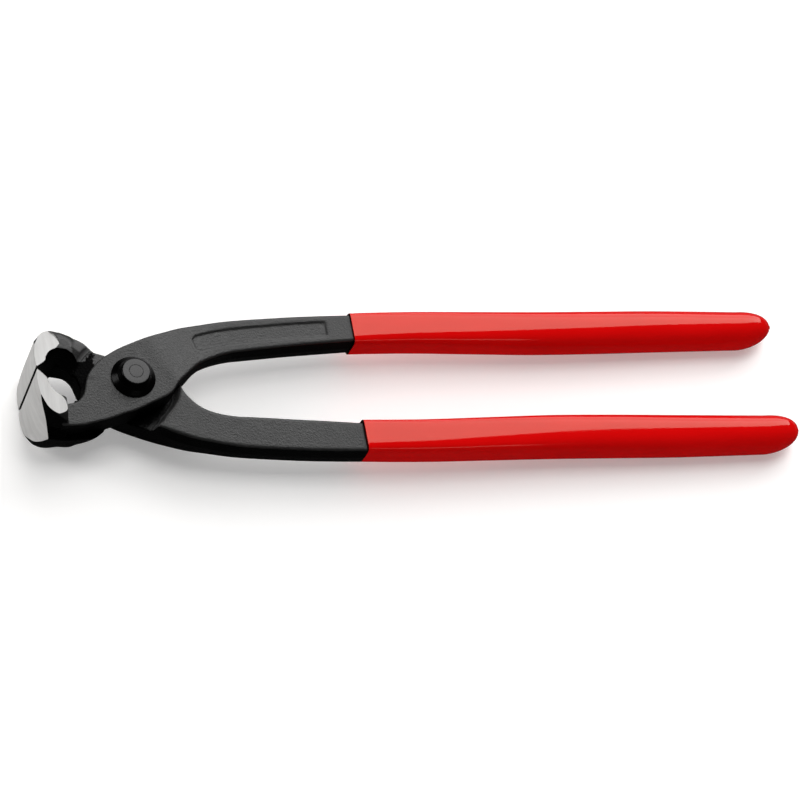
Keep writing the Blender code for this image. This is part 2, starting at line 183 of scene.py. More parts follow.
SKIN_SHARES = (
    (-0.603, 0.95, 1.00, 0.110),
    (-0.546, 0.79, 0.995, 0.100),
    (-0.479, 0.57, 0.99, 0.077),
    (-0.409, 0.32, 0.97, 0.055),
    (-0.362, 0.16, 0.93, 0.042),
    (-0.298, 0.02, 0.84, 0.010),
)
# A handle's coat: along it, its offset, width and thickness, and how square its section is.
COAT_SHARES = (
    (0.00, 0.962, 0.866, 0.790, 6.2),
    (0.06, 0.973, 0.892, 0.805, 5.4),
    (0.16, 0.982, 0.916, 0.840, 4.7),
    (0.30, 0.972, 0.968, 0.885, 3.8),
    (0.46, 0.962, 1.025, 0.940, 3.1),
    (0.62, 0.974, 1.044, 0.970, 2.75),
    (0.78, 0.992, 1.046, 0.990, 2.45),
    (1.00, 1.000, 0.995, 1.000, 2.2),
)
# The seat's outline by the arm: degrees round the pivot, and shares of the joint's radius.
SEAT_SHARES = (
    (-40, 1.00), (-20, 0.94), (0, 0.89), (20, 0.88), (32, 0.86), (46, 0.85), (60, 0.91), (74, 1.00),
)
RIB_STEPS = 8
COAT_STEPS = 14
TANG_STEPS = 48
SKIN_STEPS = 4
CORNER_STEPS = 6
ARC_STEPS = 40
TURN_STEPS = 160
RECESS_STEPS = 12
PLAQUE_STEPS = 10

pivot = Vector(frame["joints"][0]["pos_m"])


def closed_loft(name, rings):
    """A closed body through rings with the same number of points, capped at both ends."""
    bm = bmesh.new()
    rows = [[bm.verts.new(point) for point in ring] for ring in rings]
    count = len(rows[0])
    for row, following in zip(rows, rows[1:]):
        for i in range(count):
            j = (i + 1) % count
            bm.faces.new((row[i], row[j], following[j], following[i]))
    bm.faces.new(rows[0])
    bm.faces.new(rows[-1])
    bmesh.ops.recalc_face_normals(bm, faces=bm.faces)
    mesh = bpy.data.meshes.new(name)
    bm.to_mesh(mesh)
    bm.free()
    body = bpy.data.objects.new(name, mesh)
    bpy.context.scene.collection.objects.link(body)
    return body


def curve_row(before, start, end, after, share):
    row = []
    for p0, p1, p2, p3 in zip(before, start, end, after):
        bend = (2 * p0 - 5 * p1 + 4 * p2 - p3) * share ** 2 + (3 * p1 - p0 - 3 * p2 + p3) * share ** 3
        row.append(p1 + ((p2 - p0) * share + bend) / 2)
    return tuple(row)


def smooth_rows(rows, steps):
    """Points on a smooth curve through every row, with steps between one row and the next."""
    result = []
    for i in range(len(rows) - 1):
        before = rows[max(i - 1, 0)]
        after = rows[min(i + 2, len(rows) - 1)]
        for step in range(steps):
            result.append(curve_row(before, rows[i], rows[i + 1], after, step / steps))
    result.append(rows[-1])
    return result


def bar_ring(outer, inner, top, bottom, radius, draft, relief=0):
    """A forged bar's section: flats, round corners and drafted sides that meet in a ridge."""
    outer = Vector(outer)
    inner = Vector(inner)
    across = (outer - inner).normalized()
    ring = []
    for edge, way, ease in ((outer, across, 0), (inner, -across, relief)):
        side = []
        for height, shift in ((top, 0), (bottom, ease)):
            corner = []
            for step in range(CORNER_STEPS + 1):
                angle = math.pi / 2 + (draft - math.pi / 2) * step / CORNER_STEPS
                rise = abs(height) - radius + radius * math.sin(angle)
                corner.append((radius * math.cos(angle) - shift, math.copysign(rise, height)))
            side.append(corner)
        reach, rise = side[0][-1]
        ridge = (reach + rise * math.tan(draft) - ease / 2, 0)
        half = side[0] + [ridge] + side[1][::-1]
        for out, height in half if edge is outer else half[::-1]:
            place = edge + way * out
            ring.append((place.x, place.y, height))
    return ring


def lever_ribs(lever):
    ribs = []
    radius = lever["plate_share"] * JOINT_RADIUS
    for tables, along, across in ((JAW_RIB_SHARES, JAW_REACH, lever["jaw_height"]),
                                  (PLATE_RIB_SHARES, radius, radius)):
        for outer_x, outer_y, inner_x, inner_y, under in tables:
            ribs.append((outer_x * along, outer_y * across, inner_x * along, inner_y * across,
                         PLATE_THICKNESS, -under * ARM_HALF, 0, PLATE_EDGE_RADIUS, PLATE_DRAFT))
    start, offset = lever["coat_start"], lever["arm_offset"]
    for outer_x, outer_y, inner_x, inner_y, rise, relief in ARM_RIB_SHARES:
        top = ARM_HALF + rise * (PLATE_THICKNESS - ARM_HALF)
        ribs.append((outer_x * start, outer_y * offset, inner_x * start, inner_y * offset,
                     top, -ARM_HALF, relief * lever["crotch_relief"], ARM_EDGE_RADIUS, ARM_DRAFT))
    return ribs


def bar_rings(ribs):
    rings = []
    for *edges, top, under, relief, radius, draft in smooth_rows(ribs, RIB_STEPS):
        rings.append(bar_ring(edges[:2], edges[2:], top, under, radius, draft, relief))
    return rings


def skin_rings(jaw_height):
    """The forged skin of a jaw: two drafted sides that meet in a ridge, rounded at the cheeks."""
    cheek = CHEEK_WIDTH / 2
    flare = HEAD_WIDTH / 2 + FACET_SLOPE * OVERRUN + GRIND_STOCK - cheek
    nose = []
    for along, width, ridge, corner, rounding in NOSE_SHARES:
        side = cheek + width * flare
        height = ridge * jaw_height
        nose.append((along * JAW_REACH, side, side, height, height - corner * NOSE_HEIGHT,
                     rounding * JAW_CORNER_RADIUS))
    x, *rest = nose[-1]
    neck = [(x + STEP_RUN, LEDGE_RISE, *rest[1:])]
    for along, width, ridge, fall in SKIN_SHARES:
        neck.append((along * JAW_REACH, LEDGE_RISE, width * cheek, ridge * jaw_height,
                     fall * jaw_height, JAW_CORNER_RADIUS))
    rings = []
    rows = smooth_rows(nose, SKIN_STEPS) + smooth_rows(neck, SKIN_STEPS)
    for x, plate_side, free_side, ridge, fall, rounding in rows:
        half = []
        slope = fall / max(plate_side, free_side)
        for width, way in ((plate_side, 1), (free_side, -1)):
            radius = min(rounding, width / 2)
            corner = Vector((ridge - slope * width, width))
            start = corner - Vector((radius, 0))
            end = corner + Vector((slope, -1)) * radius
            points = [(-OVERRUN, way * width)]
            for step in range(CORNER_STEPS + 1):
                share = step / CORNER_STEPS
                place = start.lerp(corner, share).lerp(corner.lerp(end, share), share)
                points.append((place.x, way * place.y))
            half.append(points)
        outline = half[0] + [(ridge, 0)] + half[1][::-1]
        rings.append([(x, -height, z) for height, z in outline])
    return rings


def front_depth(height):
    return JAW_FRONT_RADIUS - math.sqrt(JAW_FRONT_RADIUS ** 2 - (height - JAW_CREST) ** 2)


def flat_rings(outline, low, high):
    return [[(x, y, z) for x, y in outline] for z in (low, high)]


def hollow_rings():
    """What the jaw's inner side leaves free: the gap at the edge, its bevel and the hollow."""
    edge = EDGE_GAP / 2
    reach = JAW_REACH + 2 * OVERRUN
    outline = [(-reach, edge), (-JAW_REACH + front_depth(edge), edge)]
    for step in range(ARC_STEPS + 1):
        angle = math.pi + (HOLLOW_END - math.pi) * step / ARC_STEPS
        outline.append((HOLLOW_SETBACK - JAW_REACH + HOLLOW_RADIUS * math.cos(angle),
                        HOLLOW_OFFSET + HOLLOW_RADIUS * math.sin(angle)))
    outline += [(0, outline[-1][1]), (0, -JAW_REACH), (-reach, -JAW_REACH)]
    return flat_rings([(x, -y) for x, y in outline], -HEAD_WIDTH, HEAD_WIDTH)


def grind_front_rings():
    """What the wheel takes off in front of the jaw's curved front."""
    top = JAW_CREST + JAW_FRONT_RADIUS * math.sin(JAW_FRONT_SWEEP)
    outline = []
    for step in range(ARC_STEPS + 1):
        height = -OVERRUN + (top + OVERRUN) * step / ARC_STEPS
        outline.append((-JAW_REACH + front_depth(height), height))
    reach = JAW_REACH + 2 * OVERRUN
    outline += [(-reach, top), (-reach, -OVERRUN)]
    return flat_rings([(x, -y) for x, y in outline], -HEAD_WIDTH, HEAD_WIDTH)


def grind_side_rings(lever, side):
    """What the wheel takes off one side of the jaw, beyond a plane through the edge's end."""
    edge_x = -JAW_REACH + front_depth(EDGE_GAP / 2)
    outline = [(-JAW_REACH - OVERRUN, -OVERRUN), (-JAW_REACH - OVERRUN, FRONT["jaw_height"] + OVERRUN)]
    outline += [(x * JAW_REACH, height * NOSE_HEIGHT) for x, height in lever["facet_end"]]
    near = []
    for x, height in outline:
        fall = FACET_SLOPE * (x - edge_x) + FACET_FALL * (height - EDGE_GAP / 2)
        near.append((x, -height, side * (HEAD_WIDTH / 2 - fall)))
    return [near, [(x, y, side * HEAD_WIDTH) for x, y, z in near]]


def edge_bevel_rings():
    """The small bevel that leaves a dark line between the closed cutting edges."""
    steep = EDGE_BEVEL / EDGE_BEVEL_RUN
    front = -JAW_REACH + front_depth(EDGE_GAP / 2)
    start = front - OVERRUN
    end = front + EDGE_BEVEL_RUN + OVERRUN
    low = -EDGE_GAP / 2 - EDGE_BEVEL - steep * OVERRUN
    high = -EDGE_GAP / 2 + steep * OVERRUN
    return flat_rings([(start, low), (end, high), (start, high)], -HEAD_WIDTH, HEAD_WIDTH)


def seat_radius(angle):
    """The seat's radius, drawn in by the arm as far as the other lever's plate leaves free."""
    turn = (math.degrees(angle) + 180) % 360 - 180
    for (low, start), (high, end) in zip(SEAT_SHARES, SEAT_SHARES[1:]):
        if low <= turn < high:
            share = (turn - low) / (high - low)
            return JOINT_RADIUS * (start + (end - start) * (3 - 2 * share) * share ** 2)
    return JOINT_RADIUS


def recess_rings():
    """The seat of the other lever's plate: a fillet by the jaw, a short slope by the arm."""
    level = JOINT_GAP / 2
    columns = []
    for i in range(TURN_STEPS):
        angle = math.tau * i / TURN_STEPS
        handle_side = min(max(math.cos(angle) / RECESS_BLEND_SHARE, 0), 1)
        start = seat_radius(angle)
        profile = [(start, level)]
        for step in range(1, RECESS_STEPS + 1):
            share = step / RECESS_STEPS
            turn = math.pi / 2 * share
            fillet = Vector((math.sin(turn), math.cos(turn) - 1)) * RECESS_FILLET
            fall = (3 - 2 * share) * share ** 2 * (ARM_HALF + JOINT_GAP)
            ramp = Vector((share * RAMP_RUN, -fall))
            place = fillet.lerp(ramp, handle_side)
            profile.append((start + place.x, level + place.y))
        profile.append((profile[-1][0], -HEAD_WIDTH))
        columns.append([(radius * math.cos(angle), radius * math.sin(angle), height)
                        for radius, height in profile])
    return list(zip(*columns))


def bore_rings():
    radius = RIVET_RADIUS + JOINT_GAP
    outline = []
    for i in range(TURN_STEPS):
        angle = math.tau * i / TURN_STEPS
        outline.append((radius * math.cos(angle), radius * math.sin(angle)))
    return flat_rings(outline, -HEAD_WIDTH, HEAD_WIDTH)


def plaque_rings(ribs):
    """A shallow round-ended field sunk in the top of the arm, along its middle."""
    rows = [row for row in smooth_rows(ribs, PLAQUE_STEPS)
            if PLAQUE_START <= (row[0] + row[2]) / 2 <= PLAQUE_END]
    places = []
    for row in rows:
        outer = Vector(row[0:2])
        inner = Vector(row[2:4])
        places.append(((outer + inner) / 2, (outer - inner).normalized(), row[4]))
    travelled = [0.0]
    for (place, across, top), (following, *rest) in zip(places, places[1:]):
        travelled.append(travelled[-1] + (following - place).length)
    radius = PLAQUE_WIDTH / 2
    rings = []
    for (place, across, top), distance in zip(places[1:-1], travelled[1:-1]):
        depth = max(radius - min(distance, travelled[-1] - distance), 0)
        half = across * math.sqrt(radius ** 2 - depth ** 2)
        low = top - PLAQUE_DEPTH
        high = top + OVERRUN
        rings.append([(*(place + half), low), (*(place + half), high),
                      (*(place - half), high), (*(place - half), low)])
    return rings


def coat_rows(lever):
    """Rows along a coat: its middle, half its width, half its thickness and its squareness."""
    start = lever["coat_start"]
    length = HANDLE_REACH - NIB_LENGTH - COAT_ROUND_END - start
    rows = []
    for along, offset, width, thickness, squareness in COAT_SHARES:
        rows.append((start + along * length, offset * lever["handle_offset"], width * COAT_WIDTH / 2,
                     thickness * COAT_THICKNESS / 2, 2 + (squareness - 2) * lever["squareness"]))
    return smooth_rows(rows, COAT_STEPS)


def tang_rings(lever):
    """The steel inside the coat, from the arm's end to just short of the coat's."""
    start = lever["coat_start"] - COAT_LIP
    end = HANDLE_REACH - TANG_SETBACK
    rows = [row for row in coat_rows(lever) if row[0] < end]
    rows = [(start, *rows[0][1:])] + rows + [(end, *rows[-1][1:])]
    rings = []
    for x, middle, half_width, half_thickness, squareness in rows:
        ring = []
        for i in range(TANG_STEPS):
            angle = math.tau * i / TANG_STEPS
            across, up = math.cos(angle), math.sin(angle)
            across = math.copysign(abs(across) ** (2 / squareness), across)
            up = math.copysign(abs(up) ** (2 / squareness), up)
            ring.append((x, middle + (half_width - COAT_WALL - JOINT_GAP) * across,
                         (half_thickness - COAT_WALL - JOINT_GAP) * up))
        rings.append(ring)
    return rings


def combine(body, rings, operation):
    tool = closed_loft("tool", rings)
    modifier = body.modifiers.new("combine", "BOOLEAN")
    modifier.object = tool
    modifier.operation = operation
    modifier.solver = "EXACT"
    modifier.material_mode = "TRANSFER"
    return tool


def finished(body, tools):
    """The body's mesh with its modifiers applied. The body and its tools are removed."""
    depsgraph = bpy.context.evaluated_depsgraph_get()
    mesh = bpy.data.meshes.new_from_object(body.evaluated_get(depsgraph))
    for item in [body] + tools:
        bpy.data.objects.remove(item)
    return mesh


def forged_mesh(lever):
    ribs = lever_ribs(lever)
    jaw = closed_loft("jaw", skin_rings(lever["jaw_height"]))
    jaw_mesh = finished(jaw, [combine(jaw, hollow_rings(), "DIFFERENCE")])
    jaw = bpy.data.objects.new("jaw", jaw_mesh)
    bpy.context.scene.collection.objects.link(jaw)
    bar = closed_loft("bar", bar_rings(ribs))
    modifier = bar.modifiers.new("jaw", "BOOLEAN")
    modifier.object = jaw
    modifier.operation = "UNION"
    tools = [jaw]
    tools.append(combine(bar, recess_rings(), "DIFFERENCE"))
    tools.append(combine(bar, bore_rings(), "DIFFERENCE"))
    if lever["plaque"]:
        tools.append(combine(bar, plaque_rings(ribs), "DIFFERENCE"))
    modifier = bar.modifiers.new("soft_edges", "REMESH")
    modifier.mode = "VOXEL"
    modifier.voxel_size = FORGED_CELL
    modifier = bar.modifiers.new("softening", "SMOOTH")
    modifier.factor = 0.5
    modifier.iterations = FORGED_SOFTENING
    return finished(bar, tools)


def ground_mesh(lever, black, bright):
    """The forging after the wheel has taken its jaw down to the front and side faces."""
    body = bpy.data.objects.new("ground", forged_mesh(lever))
    bpy.context.scene.collection.objects.link(body)
    body.data.materials.clear()
    body.data.materials.append(black)
    tools = []
    for rings, finish in ((grind_front_rings(), bright), (grind_side_rings(lever, 1), bright),
                          (grind_side_rings(lever, -1), bright), (edge_bevel_rings(), black)):
        tool = combine(body, rings, "DIFFERENCE")
        tool.data.materials.append(finish)
        tools.append(tool)
    tang = combine(body, tang_rings(lever), "UNION")
    tang.data.materials.append(black)
    return finished(body, tools + [tang])


def sharpen_rims(mesh):
    """A crisp shading edge where the ground finish meets the black."""
    finishes = {}
    for polygon in mesh.polygons:
        for key in polygon.edge_keys:
            finishes.setdefault(key, set()).add(polygon.material_index)
    sharp = mesh.attributes["sharp_edge"]
    for i, edge in enumerate(mesh.edges):
        if len(finishes[edge.key]) > 1:
            sharp.data[i].value = True


# Surface grain, for both steels and the vinyl
# A node group of noise in the piece's own place: how high the surface stands, and a mask of
# lighter and darker patches that change its colour and gloss. Masks from the place and the
# way that a surface faces then add painted shade and painted light to the black steel and
# the rivet, and painted shade to the grips' lips.
def grain_group():
    group = bpy.data.node_groups.new("grain", "ShaderNodeTree")
    for name in ("Grain Size", "Patch Size"):
        group.interface.new_socket(name, in_out="INPUT", socket_type="NodeSocketFloat")
    group.interface.new_socket("Stretch", in_out="INPUT", socket_type="NodeSocketVector")
    group.interface.new_socket("Height", in_out="OUTPUT", socket_type="NodeSocketFloat")
    group.interface.new_socket("Patches", in_out="OUTPUT", socket_type="NodeSocketFloat")
    nodes, links = group.nodes, group.links
    given = nodes.new("NodeGroupInput")
    out = nodes.new("NodeGroupOutput")
    place = nodes.new("ShaderNodeTexCoord")
    squeeze = nodes.new("ShaderNodeVectorMath")
    squeeze.operation = "DIVIDE"
    links.new(place.outputs["Object"], squeeze.inputs[0])
    links.new(given.outputs["Stretch"], squeeze.inputs[1])
    for name, size, detail in (("Height", "Grain Size", 3.0), ("Patches", "Patch Size", 5.0)):
        scale = nodes.new("ShaderNodeMath")
        scale.operation = "DIVIDE"
        scale.inputs[0].default_value = 1
        links.new(given.outputs[size], scale.inputs[1])
        noise = nodes.new("ShaderNodeTexNoise")
        noise.inputs["Detail"].default_value = detail
        noise.inputs["Roughness"].default_value = 0.6
        links.new(squeeze.outputs["Vector"], noise.inputs["Vector"])
        links.new(scale.outputs[0], noise.inputs["Scale"])
        links.new(noise.outputs["Fac"], out.inputs[name])
    return group


grain = grain_group()


def finish_of(name, shades, metallic, specular, dullness, sizes, depth, stretch=(1, 1, 1)):
    """A material whose colour, gloss and height follow the grain group."""
    colour, lighter = shades
    roughness, glossier = dullness
    grain_size, patch_size = sizes
    material = bpy.data.materials.new(name)
    material.use_nodes = True
    nodes, links = material.node_tree.nodes, material.node_tree.links
    shader = nodes["Principled BSDF"]
    shader.inputs["Metallic"].default_value = metallic
    shader.inputs["Specular IOR Level"].default_value = specular
    pattern = nodes.new("ShaderNodeGroup")
    pattern.node_tree = grain
    pattern.inputs["Grain Size"].default_value = grain_size
    pattern.inputs["Patch Size"].default_value = patch_size
    pattern.inputs["Stretch"].default_value = stretch
    tint = nodes.new("ShaderNodeMix")
    tint.data_type = "RGBA"
    tint.inputs["A"].default_value = (*colour, 1)
    tint.inputs["B"].default_value = (*lighter, 1)
    spread = nodes.new("ShaderNodeMapRange")
    spread.inputs["From Min"].default_value = 0.35
    spread.inputs["From Max"].default_value = 0.65
    links.new(pattern.outputs["Patches"], spread.inputs["Value"])
    links.new(spread.outputs["Result"], tint.inputs["Factor"])
    links.new(tint.outputs["Result"], shader.inputs["Base Color"])
    gloss = nodes.new("ShaderNodeMapRange")
    gloss.inputs["From Min"].default_value = 0.3
    gloss.inputs["From Max"].default_value = 0.7
    gloss.inputs["To Min"].default_value = roughness
    gloss.inputs["To Max"].default_value = glossier
    links.new(pattern.outputs["Height"], gloss.inputs["Value"])
    links.new(gloss.outputs["Result"], shader.inputs["Roughness"])
    bump = nodes.new("ShaderNodeBump")
    bump.inputs["Distance"].default_value = depth
    links.new(pattern.outputs["Height"], bump.inputs["Height"])
    links.new(bump.outputs["Normal"], shader.inputs["Normal"])
    return material


def worked(tree, operation, *values):
    """A Math node on sockets or numbers."""
    node = tree.nodes.new("ShaderNodeMath")
    node.operation = operation
    for socket, value in zip(node.inputs, values):
        if isinstance(value, (int, float)):
            socket.default_value = value
        else:
            tree.links.new(value, socket)
    return node.outputs[0]


def fading(tree, value, start, end):
    """A mask that is 1 below the start and 0 above the end."""
    node = tree.nodes.new("ShaderNodeMapRange")
    node.interpolation_type = "SMOOTHSTEP"
    node.inputs["From Min"].default_value = start
    node.inputs["From Max"].default_value = end
    node.inputs["To Min"].default_value = 1
    node.inputs["To Max"].default_value = 0
    tree.links.new(value, node.inputs["Value"])
    return node.outputs["Result"]


def product(tree, first, *others):
    for value in others:
        first = worked(tree, "MULTIPLY", first, value)
    return first


def largest(tree, first, *others):
    for value in others:
        first = worked(tree, "MAXIMUM", first, value)
    return first


def opposite(tree, mask):
    return worked(tree, "SUBTRACT", 1, mask)


def parted(tree, vector):
    node = tree.nodes.new("ShaderNodeSeparateXYZ")
    tree.links.new(vector, node.inputs["Vector"])
    return node.outputs["X"], node.outputs["Y"], node.outputs["Z"]


def distance_from(tree, x, y, centre_x, centre_y):
    across = worked(tree, "SUBTRACT", x, centre_x)
    up = worked(tree, "SUBTRACT", y, centre_y)
    return worked(tree, "SQRT", worked(tree, "ADD", product(tree, across, across), product(tree, up, up)))


def steepness(tree, steep, flat):
    """A mask of the slopes: 1 where the surface is steep, 0 where it lies flat."""
    facing = parted(tree, tree.nodes.new("ShaderNodeNewGeometry").outputs["Normal"])
    return fading(tree, worked(tree, "ABSOLUTE", facing[2]), steep, flat)


def tinted(tree, shader, mask, colour):
    """The shader's colour, changed to another where the mask is 1."""
    tint = tree.nodes.new("ShaderNodeMix")
    tint.data_type = "RGBA"
    tree.links.new(mask, tint.inputs["Factor"])
    tree.links.new(shader.inputs["Base Color"].links[0].from_socket, tint.inputs["A"])
    tint.inputs["B"].default_value = (*colour, 1)
    tree.links.new(tint.outputs["Result"], shader.inputs["Base Color"])


# Painted shade and painted light on the black steel: its colours, how far its masks reach and how ragged
# their edges are.
PAINTED_SHADE_COLOUR = (0.0015, 0.0015, 0.0015)
PAINT_EDGE_GRAIN = 1.2 * MM
PAINT_EDGE_RAGGEDNESS = 4.0 * MM
PAINT_FADE = 0.25 * MM
PAINTED_SHADE_RADIUS = 15.7 * MM
SEAT_SHIFT = 1.5 * MM
SEAT_FLOOR = 0.8 * MM
JAW_SIDE_INSET = 1.5 * MM
FLAT_BAND = 0.8 * MM
NECK_PLACE = 5.4 * MM
NECK_HALF = 3.4 * MM
NECK_SIDE = 13.0 * MM
NECK_TOP = 5.0 * MM
PLATE_SHADE_START = 12.5 * MM
PLATE_SHADE_END = 17.5 * MM
RAMP_PAINTED_LIGHT_COLOUR = (0.06, 0.06, 0.06)
RAMP_FACING = (-8 * MM, -3 * MM)
SKIN_PAINTED_LIGHT_COLOUR = (0.10, 0.10, 0.10)
CAST_START = 10.0 * MM
CAST_RADIUS = 18.0 * MM
CAST_SIDE = 8.3 * MM
CAST_FADE = 2.0 * MM
SIDE_STEEP = 0.25
SIDE_FLAT = 0.45
SIDE_SHARE = 0.8


def paint_light_and_shade(material):
    """Painted shade and painted light on the black steel. Near-black, unreflecting colour is painted
    in the jaw's seat, in the hollow, in the gap along the cutting edges, along the jaws' outer
    sides, on steep sides, and as the other plate's shadow on the arm; the ramp up to the arm and
    the jaw's skin by the joint are painted lighter, so that they look lit.
    """
    tree = material.node_tree
    shader = tree.nodes["Principled BSDF"]
    own = tree.nodes.new("ShaderNodeTexCoord")
    along, across, up = parted(tree, own.outputs["Object"])
    rise = worked(tree, "SUBTRACT", up, pivot.z)
    x = worked(tree, "SUBTRACT", along, pivot.x)
    y = worked(tree, "ABSOLUTE", across)
    z = worked(tree, "ABSOLUTE", rise)
    rough = tree.nodes.new("ShaderNodeTexNoise")
    rough.inputs["Scale"].default_value = 1 / PAINT_EDGE_GRAIN
    rough.inputs["Detail"].default_value = 4
    rough.inputs["Roughness"].default_value = 0.7
    tree.links.new(own.outputs["Object"], rough.inputs["Vector"])
    wander = product(tree, worked(tree, "SUBTRACT", rough.outputs["Fac"], 0.5), PAINT_EDGE_RAGGEDNESS)
    reach = worked(tree, "ADD", distance_from(tree, x, y, -SEAT_SHIFT, 0), wander)
    by_jaw = fading(tree, x, 0, PAINT_FADE)
    turned = product(tree, across, rise)
    seat_side = worked(tree, "LESS_THAN", turned, JOINT_GAP * JOINT_RADIUS)
    by_arm = product(tree, opposite(tree, by_jaw), seat_side)
    from_flat = worked(tree, "ABSOLUTE", worked(tree, "SUBTRACT", z, PLATE_THICKNESS - FLAT_BAND / 2))
    off_flat = opposite(tree, fading(tree, from_flat, FLAT_BAND, FLAT_BAND + PAINT_FADE))

    from_neck = worked(tree, "ABSOLUTE", worked(tree, "ADD", worked(tree, "ADD", x, wander), NECK_PLACE))
    off_neck = opposite(tree, fading(tree, from_neck, NECK_HALF, NECK_HALF + PAINT_FADE))
    outer = product(tree, by_jaw, opposite(tree, fading(tree, y, CAST_SIDE, CAST_SIDE + MM)))
    inner = worked(tree, "ADD", reach, product(tree, outer, JAW_SIDE_INSET))
    low = fading(tree, worked(tree, "ADD", z, wander), SEAT_FLOOR, SEAT_FLOOR + PAINT_FADE)
    # Painted shade in the seat on the jaw side, out to a ragged radius and low down by the joint.
    seat = product(tree, fading(tree, inner, PAINTED_SHADE_RADIUS, PAINTED_SHADE_RADIUS + PAINT_FADE), off_flat,
                   off_neck, low, by_jaw)

    facing = parted(tree, own.outputs["Normal"])
    outward = worked(tree, "ADD", product(tree, facing[0], x), product(tree, facing[1], across))
    # Painted light: the slope from the seat up to the arm gets a lighter colour, so that it looks lit.
    ramp = product(tree, fading(tree, outward, *RAMP_FACING), by_arm,
                   fading(tree, reach, PLATE_SHADE_END, PLATE_SHADE_END + PAINT_FADE))
    tinted(tree, shader, ramp, RAMP_PAINTED_LIGHT_COLOUR)
    # Painted shadow of the other plate: the arm side near the joint is made near black, fading out with
    # the distance from the pivot.
    painted_plate_shade = product(tree, fading(tree, reach, PLATE_SHADE_START, PLATE_SHADE_END), off_flat, opposite(tree, ramp), by_arm)

    # Painted light: the jaw's skin by the joint, on one side, is made paler, so that it looks lit where
    # the other plate shades it.
    skin = product(tree, fading(tree, x, -CAST_START, CAST_FADE - CAST_START), outer,
                   worked(tree, "GREATER_THAN", turned, 0),
                   fading(tree, reach, CAST_RADIUS, CAST_RADIUS + CAST_FADE))
    tinted(tree, shader, skin, SKIN_PAINTED_LIGHT_COLOUR)

    # Painted shade in the hollow between the jaws, in the gap along the cutting edges and along the jaws'
    # outer sides.
    from_hollow = distance_from(tree, x, y, HOLLOW_SETBACK - JAW_REACH, HOLLOW_OFFSET)
    hollow = fading(tree, from_hollow, HOLLOW_RADIUS + PAINT_FADE, HOLLOW_RADIUS + 2 * PAINT_FADE)
    seam_half = EDGE_GAP / 2 + EDGE_BEVEL
    seam = product(tree, fading(tree, y, seam_half, seam_half + PAINT_FADE),
                   fading(tree, x, HOLLOW_SETBACK - JAW_REACH, -HOLLOW_SETBACK))
    under = product(tree, opposite(tree, fading(tree, y, NECK_SIDE, NECK_SIDE + MM)), by_jaw,
                    fading(tree, z, NECK_TOP, NECK_TOP + MM))
    # Painted shade on the steep sides, except on the skin and the ramp.
    sides = product(tree, steepness(tree, SIDE_STEEP, SIDE_FLAT), opposite(tree, skin),
                    opposite(tree, ramp), SIDE_SHARE)
    # All the painted shade together: near-black colour, and metallic, so that it reflects almost nothing.
    scale = largest(tree, seat, painted_plate_shade, under, hollow, seam, sides)
    tinted(tree, shader, scale, PAINTED_SHADE_COLOUR)
    tree.links.new(scale, shader.inputs["Metallic"])


black_steel = finish_of("black_steel", ((0.006, 0.006, 0.006), (0.011, 0.011, 0.0105)), 0.0, 0.58,
                        (0.50, 0.32), (0.60 * MM, 5 * MM), 0.14 * MM)
paint_light_and_shade(black_steel)
ground_steel = finish_of("ground_steel", ((0.52, 0.515, 0.505), (0.62, 0.615, 0.605)), 0.12, 0.4,
                         (0.60, 0.50), (0.22 * MM, 2.5 * MM), 0.008 * MM, (1, 9, 1))
for lever in (FRONT, BACK):
    mesh = ground_mesh(lever, black_steel, ground_steel)
    mesh.transform(Matrix.Translation(pivot) @ Matrix.Rotation(lever["turned"], 4, "X"))
    mesh.shade_smooth()
    mesh.set_sharp_from_angle(angle=math.radians(38))
    sharpen_rims(mesh)
    piece = bpy.data.objects.new("forged_" + lever["node"], mesh)
    bpy.context.scene.collection.objects.link(piece)
    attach(piece, lever["body"])
    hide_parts(lever["node"])


# Sections swept along a path, for the rivet and the grips
# A node tree that follows a line of points and puts an oval round each one, from the widths
# and the squareness that the points carry, and closes the seam and the ends.
WELD_DISTANCE = 0.002 * MM


